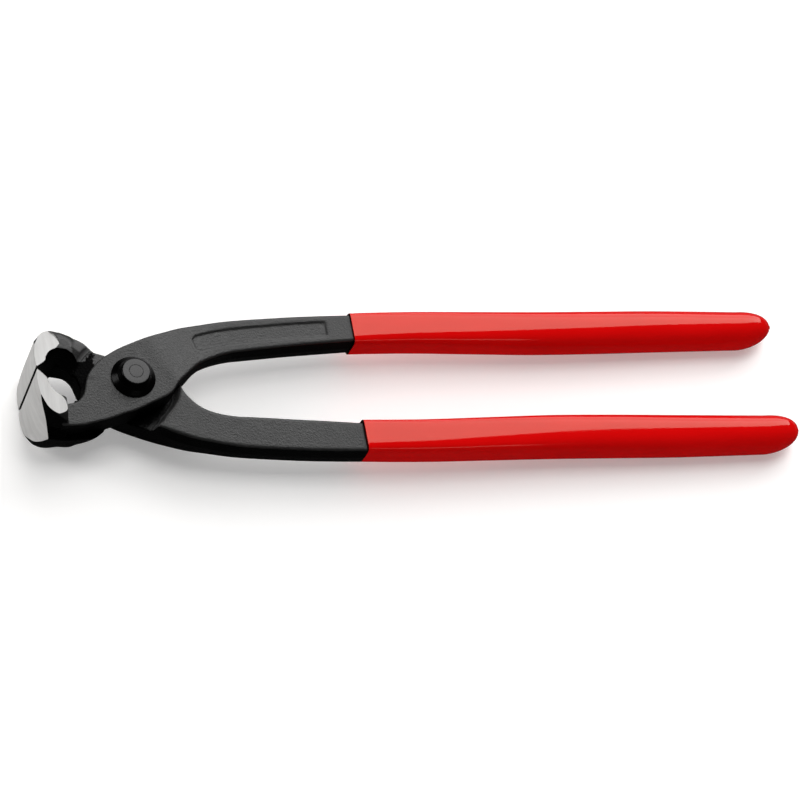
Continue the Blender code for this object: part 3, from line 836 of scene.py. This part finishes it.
def sweep_tree():
    tree = bpy.data.node_groups.new("sweep_ovals", "GeometryNodeTree")
    face = tree.interface
    face.new_socket("Path", in_out="INPUT", socket_type="NodeSocketGeometry")
    face.new_socket("Sides", in_out="INPUT", socket_type="NodeSocketInt")
    face.new_socket("Across", in_out="INPUT", socket_type="NodeSocketVector")
    face.new_socket("Up", in_out="INPUT", socket_type="NodeSocketVector")
    face.new_socket("Finish", in_out="INPUT", socket_type="NodeSocketMaterial")
    face.new_socket("Body", in_out="OUTPUT", socket_type="NodeSocketGeometry")
    nodes, links = tree.nodes, tree.links
    given = nodes.new("NodeGroupInput")
    out = nodes.new("NodeGroupOutput")

    def vector_node(operation, first, second, scale=None):
        node = nodes.new("ShaderNodeVectorMath")
        node.operation = operation
        links.new(first, node.inputs[0])
        if second is not None:
            links.new(second, node.inputs[1])
        if scale is not None:
            links.new(scale, node.inputs["Scale"])
        return node.outputs["Vector"]

    count = nodes.new("GeometryNodeAttributeDomainSize")
    links.new(given.outputs["Path"], count.inputs["Geometry"])
    around = worked(tree, "ADD", given.outputs["Sides"], 1)
    sheet = nodes.new("GeometryNodeMeshGrid")
    links.new(count.outputs["Point Count"], sheet.inputs["Vertices X"])
    links.new(around, sheet.inputs["Vertices Y"])
    index = nodes.new("GeometryNodeInputIndex").outputs["Index"]
    row = worked(tree, "FLOOR", worked(tree, "DIVIDE", worked(tree, "ADD", index, 0.5), around))
    column = worked(tree, "SUBTRACT", index, worked(tree, "MULTIPLY", row, around))
    angle = worked(tree, "MULTIPLY", worked(tree, "DIVIDE", column, given.outputs["Sides"]), math.tau)

    def sampled(name, data_type):
        if name == "position":
            value = nodes.new("GeometryNodeInputPosition").outputs["Position"]
        else:
            named = nodes.new("GeometryNodeInputNamedAttribute")
            named.inputs["Name"].default_value = name
            value = named.outputs["Attribute"]
        sample = nodes.new("GeometryNodeSampleIndex")
        sample.data_type = data_type
        links.new(given.outputs["Path"], sample.inputs["Geometry"])
        links.new(value, sample.inputs["Value"])
        links.new(row, sample.inputs["Index"])
        return sample.outputs["Value"]

    power = worked(tree, "DIVIDE", 2, sampled("squareness", "FLOAT"))
    place = sampled("position", "FLOAT_VECTOR")
    for turn, reach, axis in (("COSINE", "half_width", "Across"), ("SINE", "half_height", "Up")):
        wave = worked(tree, turn, angle)
        size = worked(tree, "POWER", worked(tree, "ABSOLUTE", wave), power)
        size = worked(tree, "MULTIPLY", size, worked(tree, "SIGN", wave))
        size = worked(tree, "MULTIPLY", size, sampled(reach, "FLOAT"))
        place = vector_node("ADD", place, vector_node("SCALE", given.outputs[axis], None, size))
    shape = nodes.new("GeometryNodeSetPosition")
    links.new(sheet.outputs["Mesh"], shape.inputs["Geometry"])
    links.new(place, shape.inputs["Position"])
    weld = nodes.new("GeometryNodeMergeByDistance")
    weld.inputs["Distance"].default_value = WELD_DISTANCE
    links.new(shape.outputs["Geometry"], weld.inputs["Geometry"])
    real = nodes.new("GeometryNodeRealizeInstances")
    links.new(weld.outputs["Geometry"], real.inputs["Geometry"])
    coat = nodes.new("GeometryNodeSetMaterial")
    links.new(real.outputs["Geometry"], coat.inputs["Geometry"])
    links.new(given.outputs["Finish"], coat.inputs["Material"])
    links.new(coat.outputs["Geometry"], out.inputs["Body"])
    return tree


sweep = sweep_tree()


def swept_piece(name, rows, sides, across, up, finish):
    """A plain mesh object from rows of a place, half a width, half a height and a squareness."""
    path = bpy.data.meshes.new(name)
    path.from_pydata([row[0] for row in rows], [(i, i + 1) for i in range(len(rows) - 1)], [])
    for column, key in ((1, "half_width"), (2, "half_height"), (3, "squareness")):
        attribute = path.attributes.new(key, "FLOAT", "POINT")
        attribute.data.foreach_set("value", [row[column] for row in rows])
    piece = bpy.data.objects.new(name, path)
    bpy.context.scene.collection.objects.link(piece)
    modifier = piece.modifiers.new("sweep", "NODES")
    modifier.node_group = sweep
    for item in sweep.interface.items_tree:
        if item.item_type == "SOCKET" and item.in_out == "INPUT":
            value = {"Sides": sides, "Across": across, "Up": up, "Finish": finish}.get(item.name)
            if value is not None:
                modifier[item.identifier] = value
    depsgraph = bpy.context.evaluated_depsgraph_get()
    mesh = bpy.data.meshes.new_from_object(piece.evaluated_get(depsgraph))
    piece.modifiers.clear()
    piece.data = mesh
    bm = bmesh.new()
    bm.from_mesh(mesh)
    bmesh.ops.recalc_face_normals(bm, faces=bm.faces)
    bm.to_mesh(mesh)
    bm.free()
    mesh.shade_smooth()
    return piece


# The rivet
# One pressed steel rivet, black like the levers. Its raised head is a cone with a hollow
# flank and a turned ring in its flat top, and its tail is a low cone formed over the far side.
RIVET_BASE_RADIUS = 6.6 * MM
RIVET_TOP_RADIUS = 4.15 * MM
RIVET_RISE = 3.85 * MM
TAIL_BASE_RADIUS = 6.4 * MM
TAIL_TOP_RADIUS = 4.6 * MM
TAIL_RISE = 1.6 * MM
RIVET_EDGE_RADIUS = 0.35 * MM
RIVET_SEAT = PLATE_THICKNESS + JOINT_GAP
RIVET_SIDES = 160
ROUNDING_STEPS = 5
RING_DEPTH = 0.06 * MM
HEAD_STAND = 0.02 * MM
FLANK_STEEP = 0.80
FLANK_FLAT = 0.93
FLANK_SHARE = 0.85


def rounded(points, radius, steps):
    """The points of a profile with each corner but the first and last rounded."""
    result = [points[0]]
    for before, corner, after in zip(points, points[1:], points[2:]):
        before, corner, after = Vector(before), Vector(corner), Vector(after)
        reach = min(radius, (before - corner).length / 2, (after - corner).length / 2)
        start = corner + (before - corner).normalized() * reach
        end = corner + (after - corner).normalized() * reach
        for step in range(steps + 1):
            share = step / steps
            result.append(tuple(start.lerp(corner, share).lerp(corner.lerp(end, share), share)))
    result.append(points[-1])
    return result


def rivet_profile():
    top = PLATE_THICKNESS + RIVET_RISE
    tail = -PLATE_THICKNESS - TAIL_RISE
    flank = RIVET_BASE_RADIUS - RIVET_TOP_RADIUS
    profile = [
        (0, top),
        (0.46 * RIVET_TOP_RADIUS, top),
        (0.49 * RIVET_TOP_RADIUS, top - RING_DEPTH),
        (0.52 * RIVET_TOP_RADIUS, top),
        (RIVET_TOP_RADIUS, top),
        (RIVET_TOP_RADIUS + 0.35 * flank, RIVET_SEAT + 0.35 * RIVET_RISE),
        (RIVET_BASE_RADIUS, PLATE_THICKNESS + 0.12 * RIVET_RISE),
        (RIVET_BASE_RADIUS, PLATE_THICKNESS + HEAD_STAND),
        (RIVET_RADIUS, PLATE_THICKNESS + HEAD_STAND),
        (RIVET_RADIUS, -RIVET_SEAT),
        (TAIL_BASE_RADIUS, -RIVET_SEAT),
        (TAIL_TOP_RADIUS, tail),
        (0, tail),
    ]
    return rounded(profile, RIVET_EDGE_RADIUS, ROUNDING_STEPS)


def paint_flank_shade(material):
    """Painted shade on the rivet's slopes: near black and metallic, so that they reflect almost nothing.
    """
    tree = material.node_tree
    shader = tree.nodes["Principled BSDF"]
    flank = product(tree, steepness(tree, FLANK_STEEP, FLANK_FLAT), FLANK_SHARE)
    tinted(tree, shader, flank, PAINTED_SHADE_COLOUR)
    tree.links.new(flank, shader.inputs["Metallic"])


black_rivet = finish_of("black_rivet", ((0.005, 0.005, 0.005), (0.008, 0.008, 0.008)), 0.0, 0.44,
                        (0.26, 0.18), (0.3 * MM, 3 * MM), 0.012 * MM)
rows = [((0, 0, height), radius, radius, 2) for radius, height in rivet_profile()]
paint_flank_shade(black_rivet)
rivet = swept_piece("pressed_rivet", rows, RIVET_SIDES, (1, 0, 0), (0, 1, 0), black_rivet)
rivet.data.transform(Matrix.Translation(pivot))
rivet.data.set_sharp_from_angle(angle=math.radians(40))
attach(rivet, "front")
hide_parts("pivot_rivet")


# The grips
# Each handle is dipped in liquid vinyl, which leaves a thin glossy coat with a soft front
# edge, a shoulder along each side that fades towards the end, and a drip's nib on the tip.
NIB_RADIUS = 1.0 * MM
NIB_STAND = 0.6 * MM
NIB_STEPS = 6
COAT_END_STEPS = 40
COAT_SIDES = 128
LIP_STEPS = 6
LEAN_POWER = 1.3
LEAN_SIDEWAYS = 0.89
LEAN_UPWARD = 0.46
LIP_SHADE_FADE = (-0.08 * MM, 0.12 * MM)
LIP_SHADE_COLOUR = (0.02, 0.001, 0.001)


def coat_path(lever):
    """From the nib to the front lip, and back along the inside to the tang's end."""
    skin = coat_rows(lever)
    x, middle, half_width, half_thickness, squareness = skin[-1]
    end = []
    for step in range(COAT_END_STEPS):
        turn = math.pi / 2 * step / COAT_END_STEPS
        share = math.cos(turn) ** lever["end_taper"]
        if half_width * share < NIB_RADIUS:
            break
        along = math.sin(turn)
        place = x + (COAT_ROUND_END + NIB_LENGTH - NIB_STAND) * along
        end.append((place, middle, half_width * share, half_thickness * share, squareness,
                    lever["end_lean"] * along ** LEAN_POWER))
    root = place
    for step in range(NIB_STEPS + 1):
        turn = math.pi / 2 * step / NIB_STEPS
        radius = NIB_RADIUS * math.cos(turn)
        place = root + (HANDLE_REACH - root) * math.sin(turn)
        end.append((place, middle, radius, radius, 2, lever["end_lean"]))
    outside = end[:0:-1] + [(*row, 0) for row in skin[::-1]]
    rows = [((x, middle + lean * LEAN_SIDEWAYS, lean * LEAN_UPWARD), wide, thick, squareness)
            for x, middle, wide, thick, squareness, lean in outside]
    rows[0] = (rows[0][0], 0, 0, rows[0][3])
    x, middle, half_width, half_thickness, squareness = skin[0]
    for step in range(LIP_STEPS + 1):
        turn = math.pi * step / LIP_STEPS
        inset = COAT_WALL / 2 * (1 - math.cos(turn))
        place = (x - COAT_LIP * math.sin(turn), middle, 0)
        rows.append((place, half_width - inset, half_thickness - inset, squareness))
    for x, middle, half_width, half_thickness, squareness in skin:
        if x > HANDLE_REACH - TANG_SETBACK:
            break
        rows.append(((x, middle, 0), half_width - COAT_WALL, half_thickness - COAT_WALL, squareness))
    last = rows[-1]
    rows.append((last[0], 0, 0, last[3]))
    return rows


def paint_lip_shade(material):
    """Painted shade in the front lip of each coat, where it meets the steel: dark and metallic, so that it
    reflects almost nothing.
    """
    tree = material.node_tree
    shader = tree.nodes["Principled BSDF"]
    along, across, up = parted(tree, tree.nodes.new("ShaderNodeTexCoord").outputs["Object"])
    middle = (FRONT["coat_start"] + BACK["coat_start"]) / 2
    half = (FRONT["coat_start"] - BACK["coat_start"]) / 2
    start = worked(tree, "MULTIPLY_ADD", worked(tree, "SIGN", across), half, pivot.x + middle)
    lip = fading(tree, worked(tree, "SUBTRACT", along, start), *LIP_SHADE_FADE)
    tinted(tree, shader, lip, LIP_SHADE_COLOUR)
    tree.links.new(lip, shader.inputs["Metallic"])


red_vinyl = finish_of("red_vinyl", ((0.60, 0.0012, 0.0015), (0.64, 0.0016, 0.002)), 0.0, 0.38,
                      (0.07, 0.05), (0.8 * MM, 9 * MM), 0.002 * MM, (3, 1, 1))
vinyl_shader = red_vinyl.node_tree.nodes["Principled BSDF"]
vinyl_shader.inputs["Specular Tint"].default_value = (1, 0.99, 0.80, 1)
paint_lip_shade(red_vinyl)
for lever in (FRONT, BACK):
    grip = swept_piece("dipped_" + lever["body"] + "_grip", coat_path(lever), COAT_SIDES, (0, 1, 0),
                       (0, 0, 1), red_vinyl)
    grip.data.transform(Matrix.Translation(pivot) @ Matrix.Rotation(lever["turned"], 4, "X"))
    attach(grip, lever["body"])
    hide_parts(lever["body"] + "_grip")


# The floor and the light
# The pliers lie on a pale table on the head's side and the grips' ends, so the table is tilted
# a little under them. Its colour and the air's are white where the camera sees them, and nearly
# black where a gloss mirrors them.
HEAD_FOOT = (-0.120, 0.0)
GRIP_FOOT = (0.112, pivot.z - COAT_THICKNESS / 2)
FLOOR_SIZE = 3.0
AIR_FILL = 0.20
AIR_MIRRORED = 0.03
AIR_SEEN = 1.0
BOX_ALONG = (0.940, 0.342, 0)
BOX_DOWN = (-0.220, 0.604, -0.766)
CAMERA_PLACE = (-0.27617, -0.31477, 0.61756)
CAMERA_TURN = math.radians(40.612)
CAMERA_TILT = math.radians(55.934)
CAMERA_ROLL = math.radians(34.661)
CAMERA_LENS = 107.53


def mirror_rays(tree, path):
    """1 for the rays that see the surface in a gloss, 0 for the camera's and the rest."""
    return worked(tree, "MAXIMUM", path.outputs["Is Glossy Ray"], path.outputs["Is Transmission Ray"])


def level_of(tree, mask, unmasked, masked):
    """A strength between two levels, numbers or sockets, as the mask says."""
    node = tree.nodes.new("ShaderNodeMapRange")
    if isinstance(unmasked, float):
        node.inputs["To Min"].default_value = unmasked
    else:
        tree.links.new(unmasked, node.inputs["To Min"])
    node.inputs["To Max"].default_value = masked
    tree.links.new(mask, node.inputs["Value"])
    return node.outputs["Result"]


def pale_surface(name, colour, seen, mirrored):
    """A diffuse surface, lifted to white for the camera, and calmer where a gloss mirrors it."""
    material = bpy.data.materials.new(name)
    material.use_nodes = True
    tree = material.node_tree
    shader = tree.nodes["Principled BSDF"]
    shader.inputs["Roughness"].default_value = 0.6
    shader.inputs["Specular IOR Level"].default_value = 0.2
    mirror = mirror_rays(tree, tree.nodes.new("ShaderNodeLightPath"))
    tint = tree.nodes.new("ShaderNodeMix")
    tint.data_type = "RGBA"
    tree.links.new(mirror, tint.inputs["Factor"])
    tint.inputs["A"].default_value = (*colour, 1)
    tint.inputs["B"].default_value = (mirrored, mirrored, mirrored, 1)
    tree.links.new(tint.outputs["Result"], shader.inputs["Base Color"])
    shader.inputs["Emission Color"].default_value = (1, 1, 1, 1)
    tree.links.new(level_of(tree, mirror, seen, mirrored), shader.inputs["Emission Strength"])
    return material


slope = math.atan2(GRIP_FOOT[1] - HEAD_FOOT[1], GRIP_FOOT[0] - HEAD_FOOT[0])
floor_mesh = bpy.data.meshes.new("floor")
half = FLOOR_SIZE / 2
corners = [(-half, -half, 0), (half, -half, 0), (half, half, 0), (-half, half, 0)]
floor_mesh.from_pydata(corners, [], [(0, 1, 2, 3)])
floor_mesh.materials.append(pale_surface("pale_table", (0.86, 0.85, 0.84), 0.24, 0.015))
floor = bpy.data.objects.new("floor", floor_mesh)
bpy.context.scene.collection.objects.link(floor)
floor.matrix_world = Matrix.Translation((HEAD_FOOT[0], 0, HEAD_FOOT[1])) @ Matrix.Rotation(-slope, 4, "Y")

world = bpy.data.worlds.new("air")
bpy.context.scene.world = world
world.use_nodes = True
tree = world.node_tree
air = tree.nodes["Background"]
path = tree.nodes.new("ShaderNodeLightPath")
fill = level_of(tree, mirror_rays(tree, path), AIR_FILL, AIR_MIRRORED)
tree.links.new(level_of(tree, path.outputs["Is Camera Ray"], fill, AIR_SEEN), air.inputs["Strength"])
air.inputs["Color"].default_value = (1, 1, 1, 1)


def softbox(name, corner, along, down, width, height, level):
    """A flat lamp of an even brightness, where 1 is white, hung from the middle of its top edge."""
    light = bpy.data.lights.new(name, "AREA")
    light.shape = "RECTANGLE"
    light.size = width
    light.size_y = height
    light.energy = level * math.pi * width * height
    lamp = bpy.data.objects.new(name, light)
    bpy.context.scene.collection.objects.link(lamp)
    side = Vector(along).normalized()
    drop = Vector(down)
    drop = (drop - drop.dot(side) * side).normalized()
    middle = Vector(corner) + drop * height / 2
    if side.cross(-drop).dot(middle) < 0:
        side = -side
    axes = Matrix((side, -drop, side.cross(-drop))).transposed().to_4x4()
    lamp.matrix_world = Matrix.Translation(middle) @ axes
    return lamp


softbox("high_softbox", (1.558, 0.940, 1.50), BOX_ALONG, BOX_DOWN, 3.4, 0.8, 3.2)
softbox("low_softbox", (1.382, 1.423, 0.887), BOX_ALONG, BOX_DOWN, 3.4, 0.8, 2.1)
softbox("front_strip", (0.23, -0.74, 1.05), (1, 0, 0), (0, -0.5, -0.8), 0.7, 0.2, 1.5)
softbox("side_lamp", (-0.85, 0.35, 0.5), (0.40, -0.92, 0), (-0.55, 0.28, -1), 0.5, 0.4, 6.5)
top_lamp = softbox("top_lamp", (0.0, 0.45, 1.2), (1, 0, 0), (0, -1, 0.01), 0.5, 0.5, 6.5)
top_lamp.visible_glossy = False

lens = bpy.data.cameras.new("camera")
lens.lens = CAMERA_LENS
lens.sensor_width = 36
lens.clip_start = 0.01
camera = bpy.data.objects.new("camera", lens)
bpy.context.scene.collection.objects.link(camera)
camera.matrix_world = (Matrix.Translation(CAMERA_PLACE) @ Matrix.Rotation(-CAMERA_TURN, 4, "Z")
                       @ Matrix.Rotation(math.pi / 2 - CAMERA_TILT, 4, "X")
                       @ Matrix.Rotation(CAMERA_ROLL, 4, "Z"))
bpy.context.scene.camera = camera
bpy.context.scene.view_settings.view_transform = "Standard"
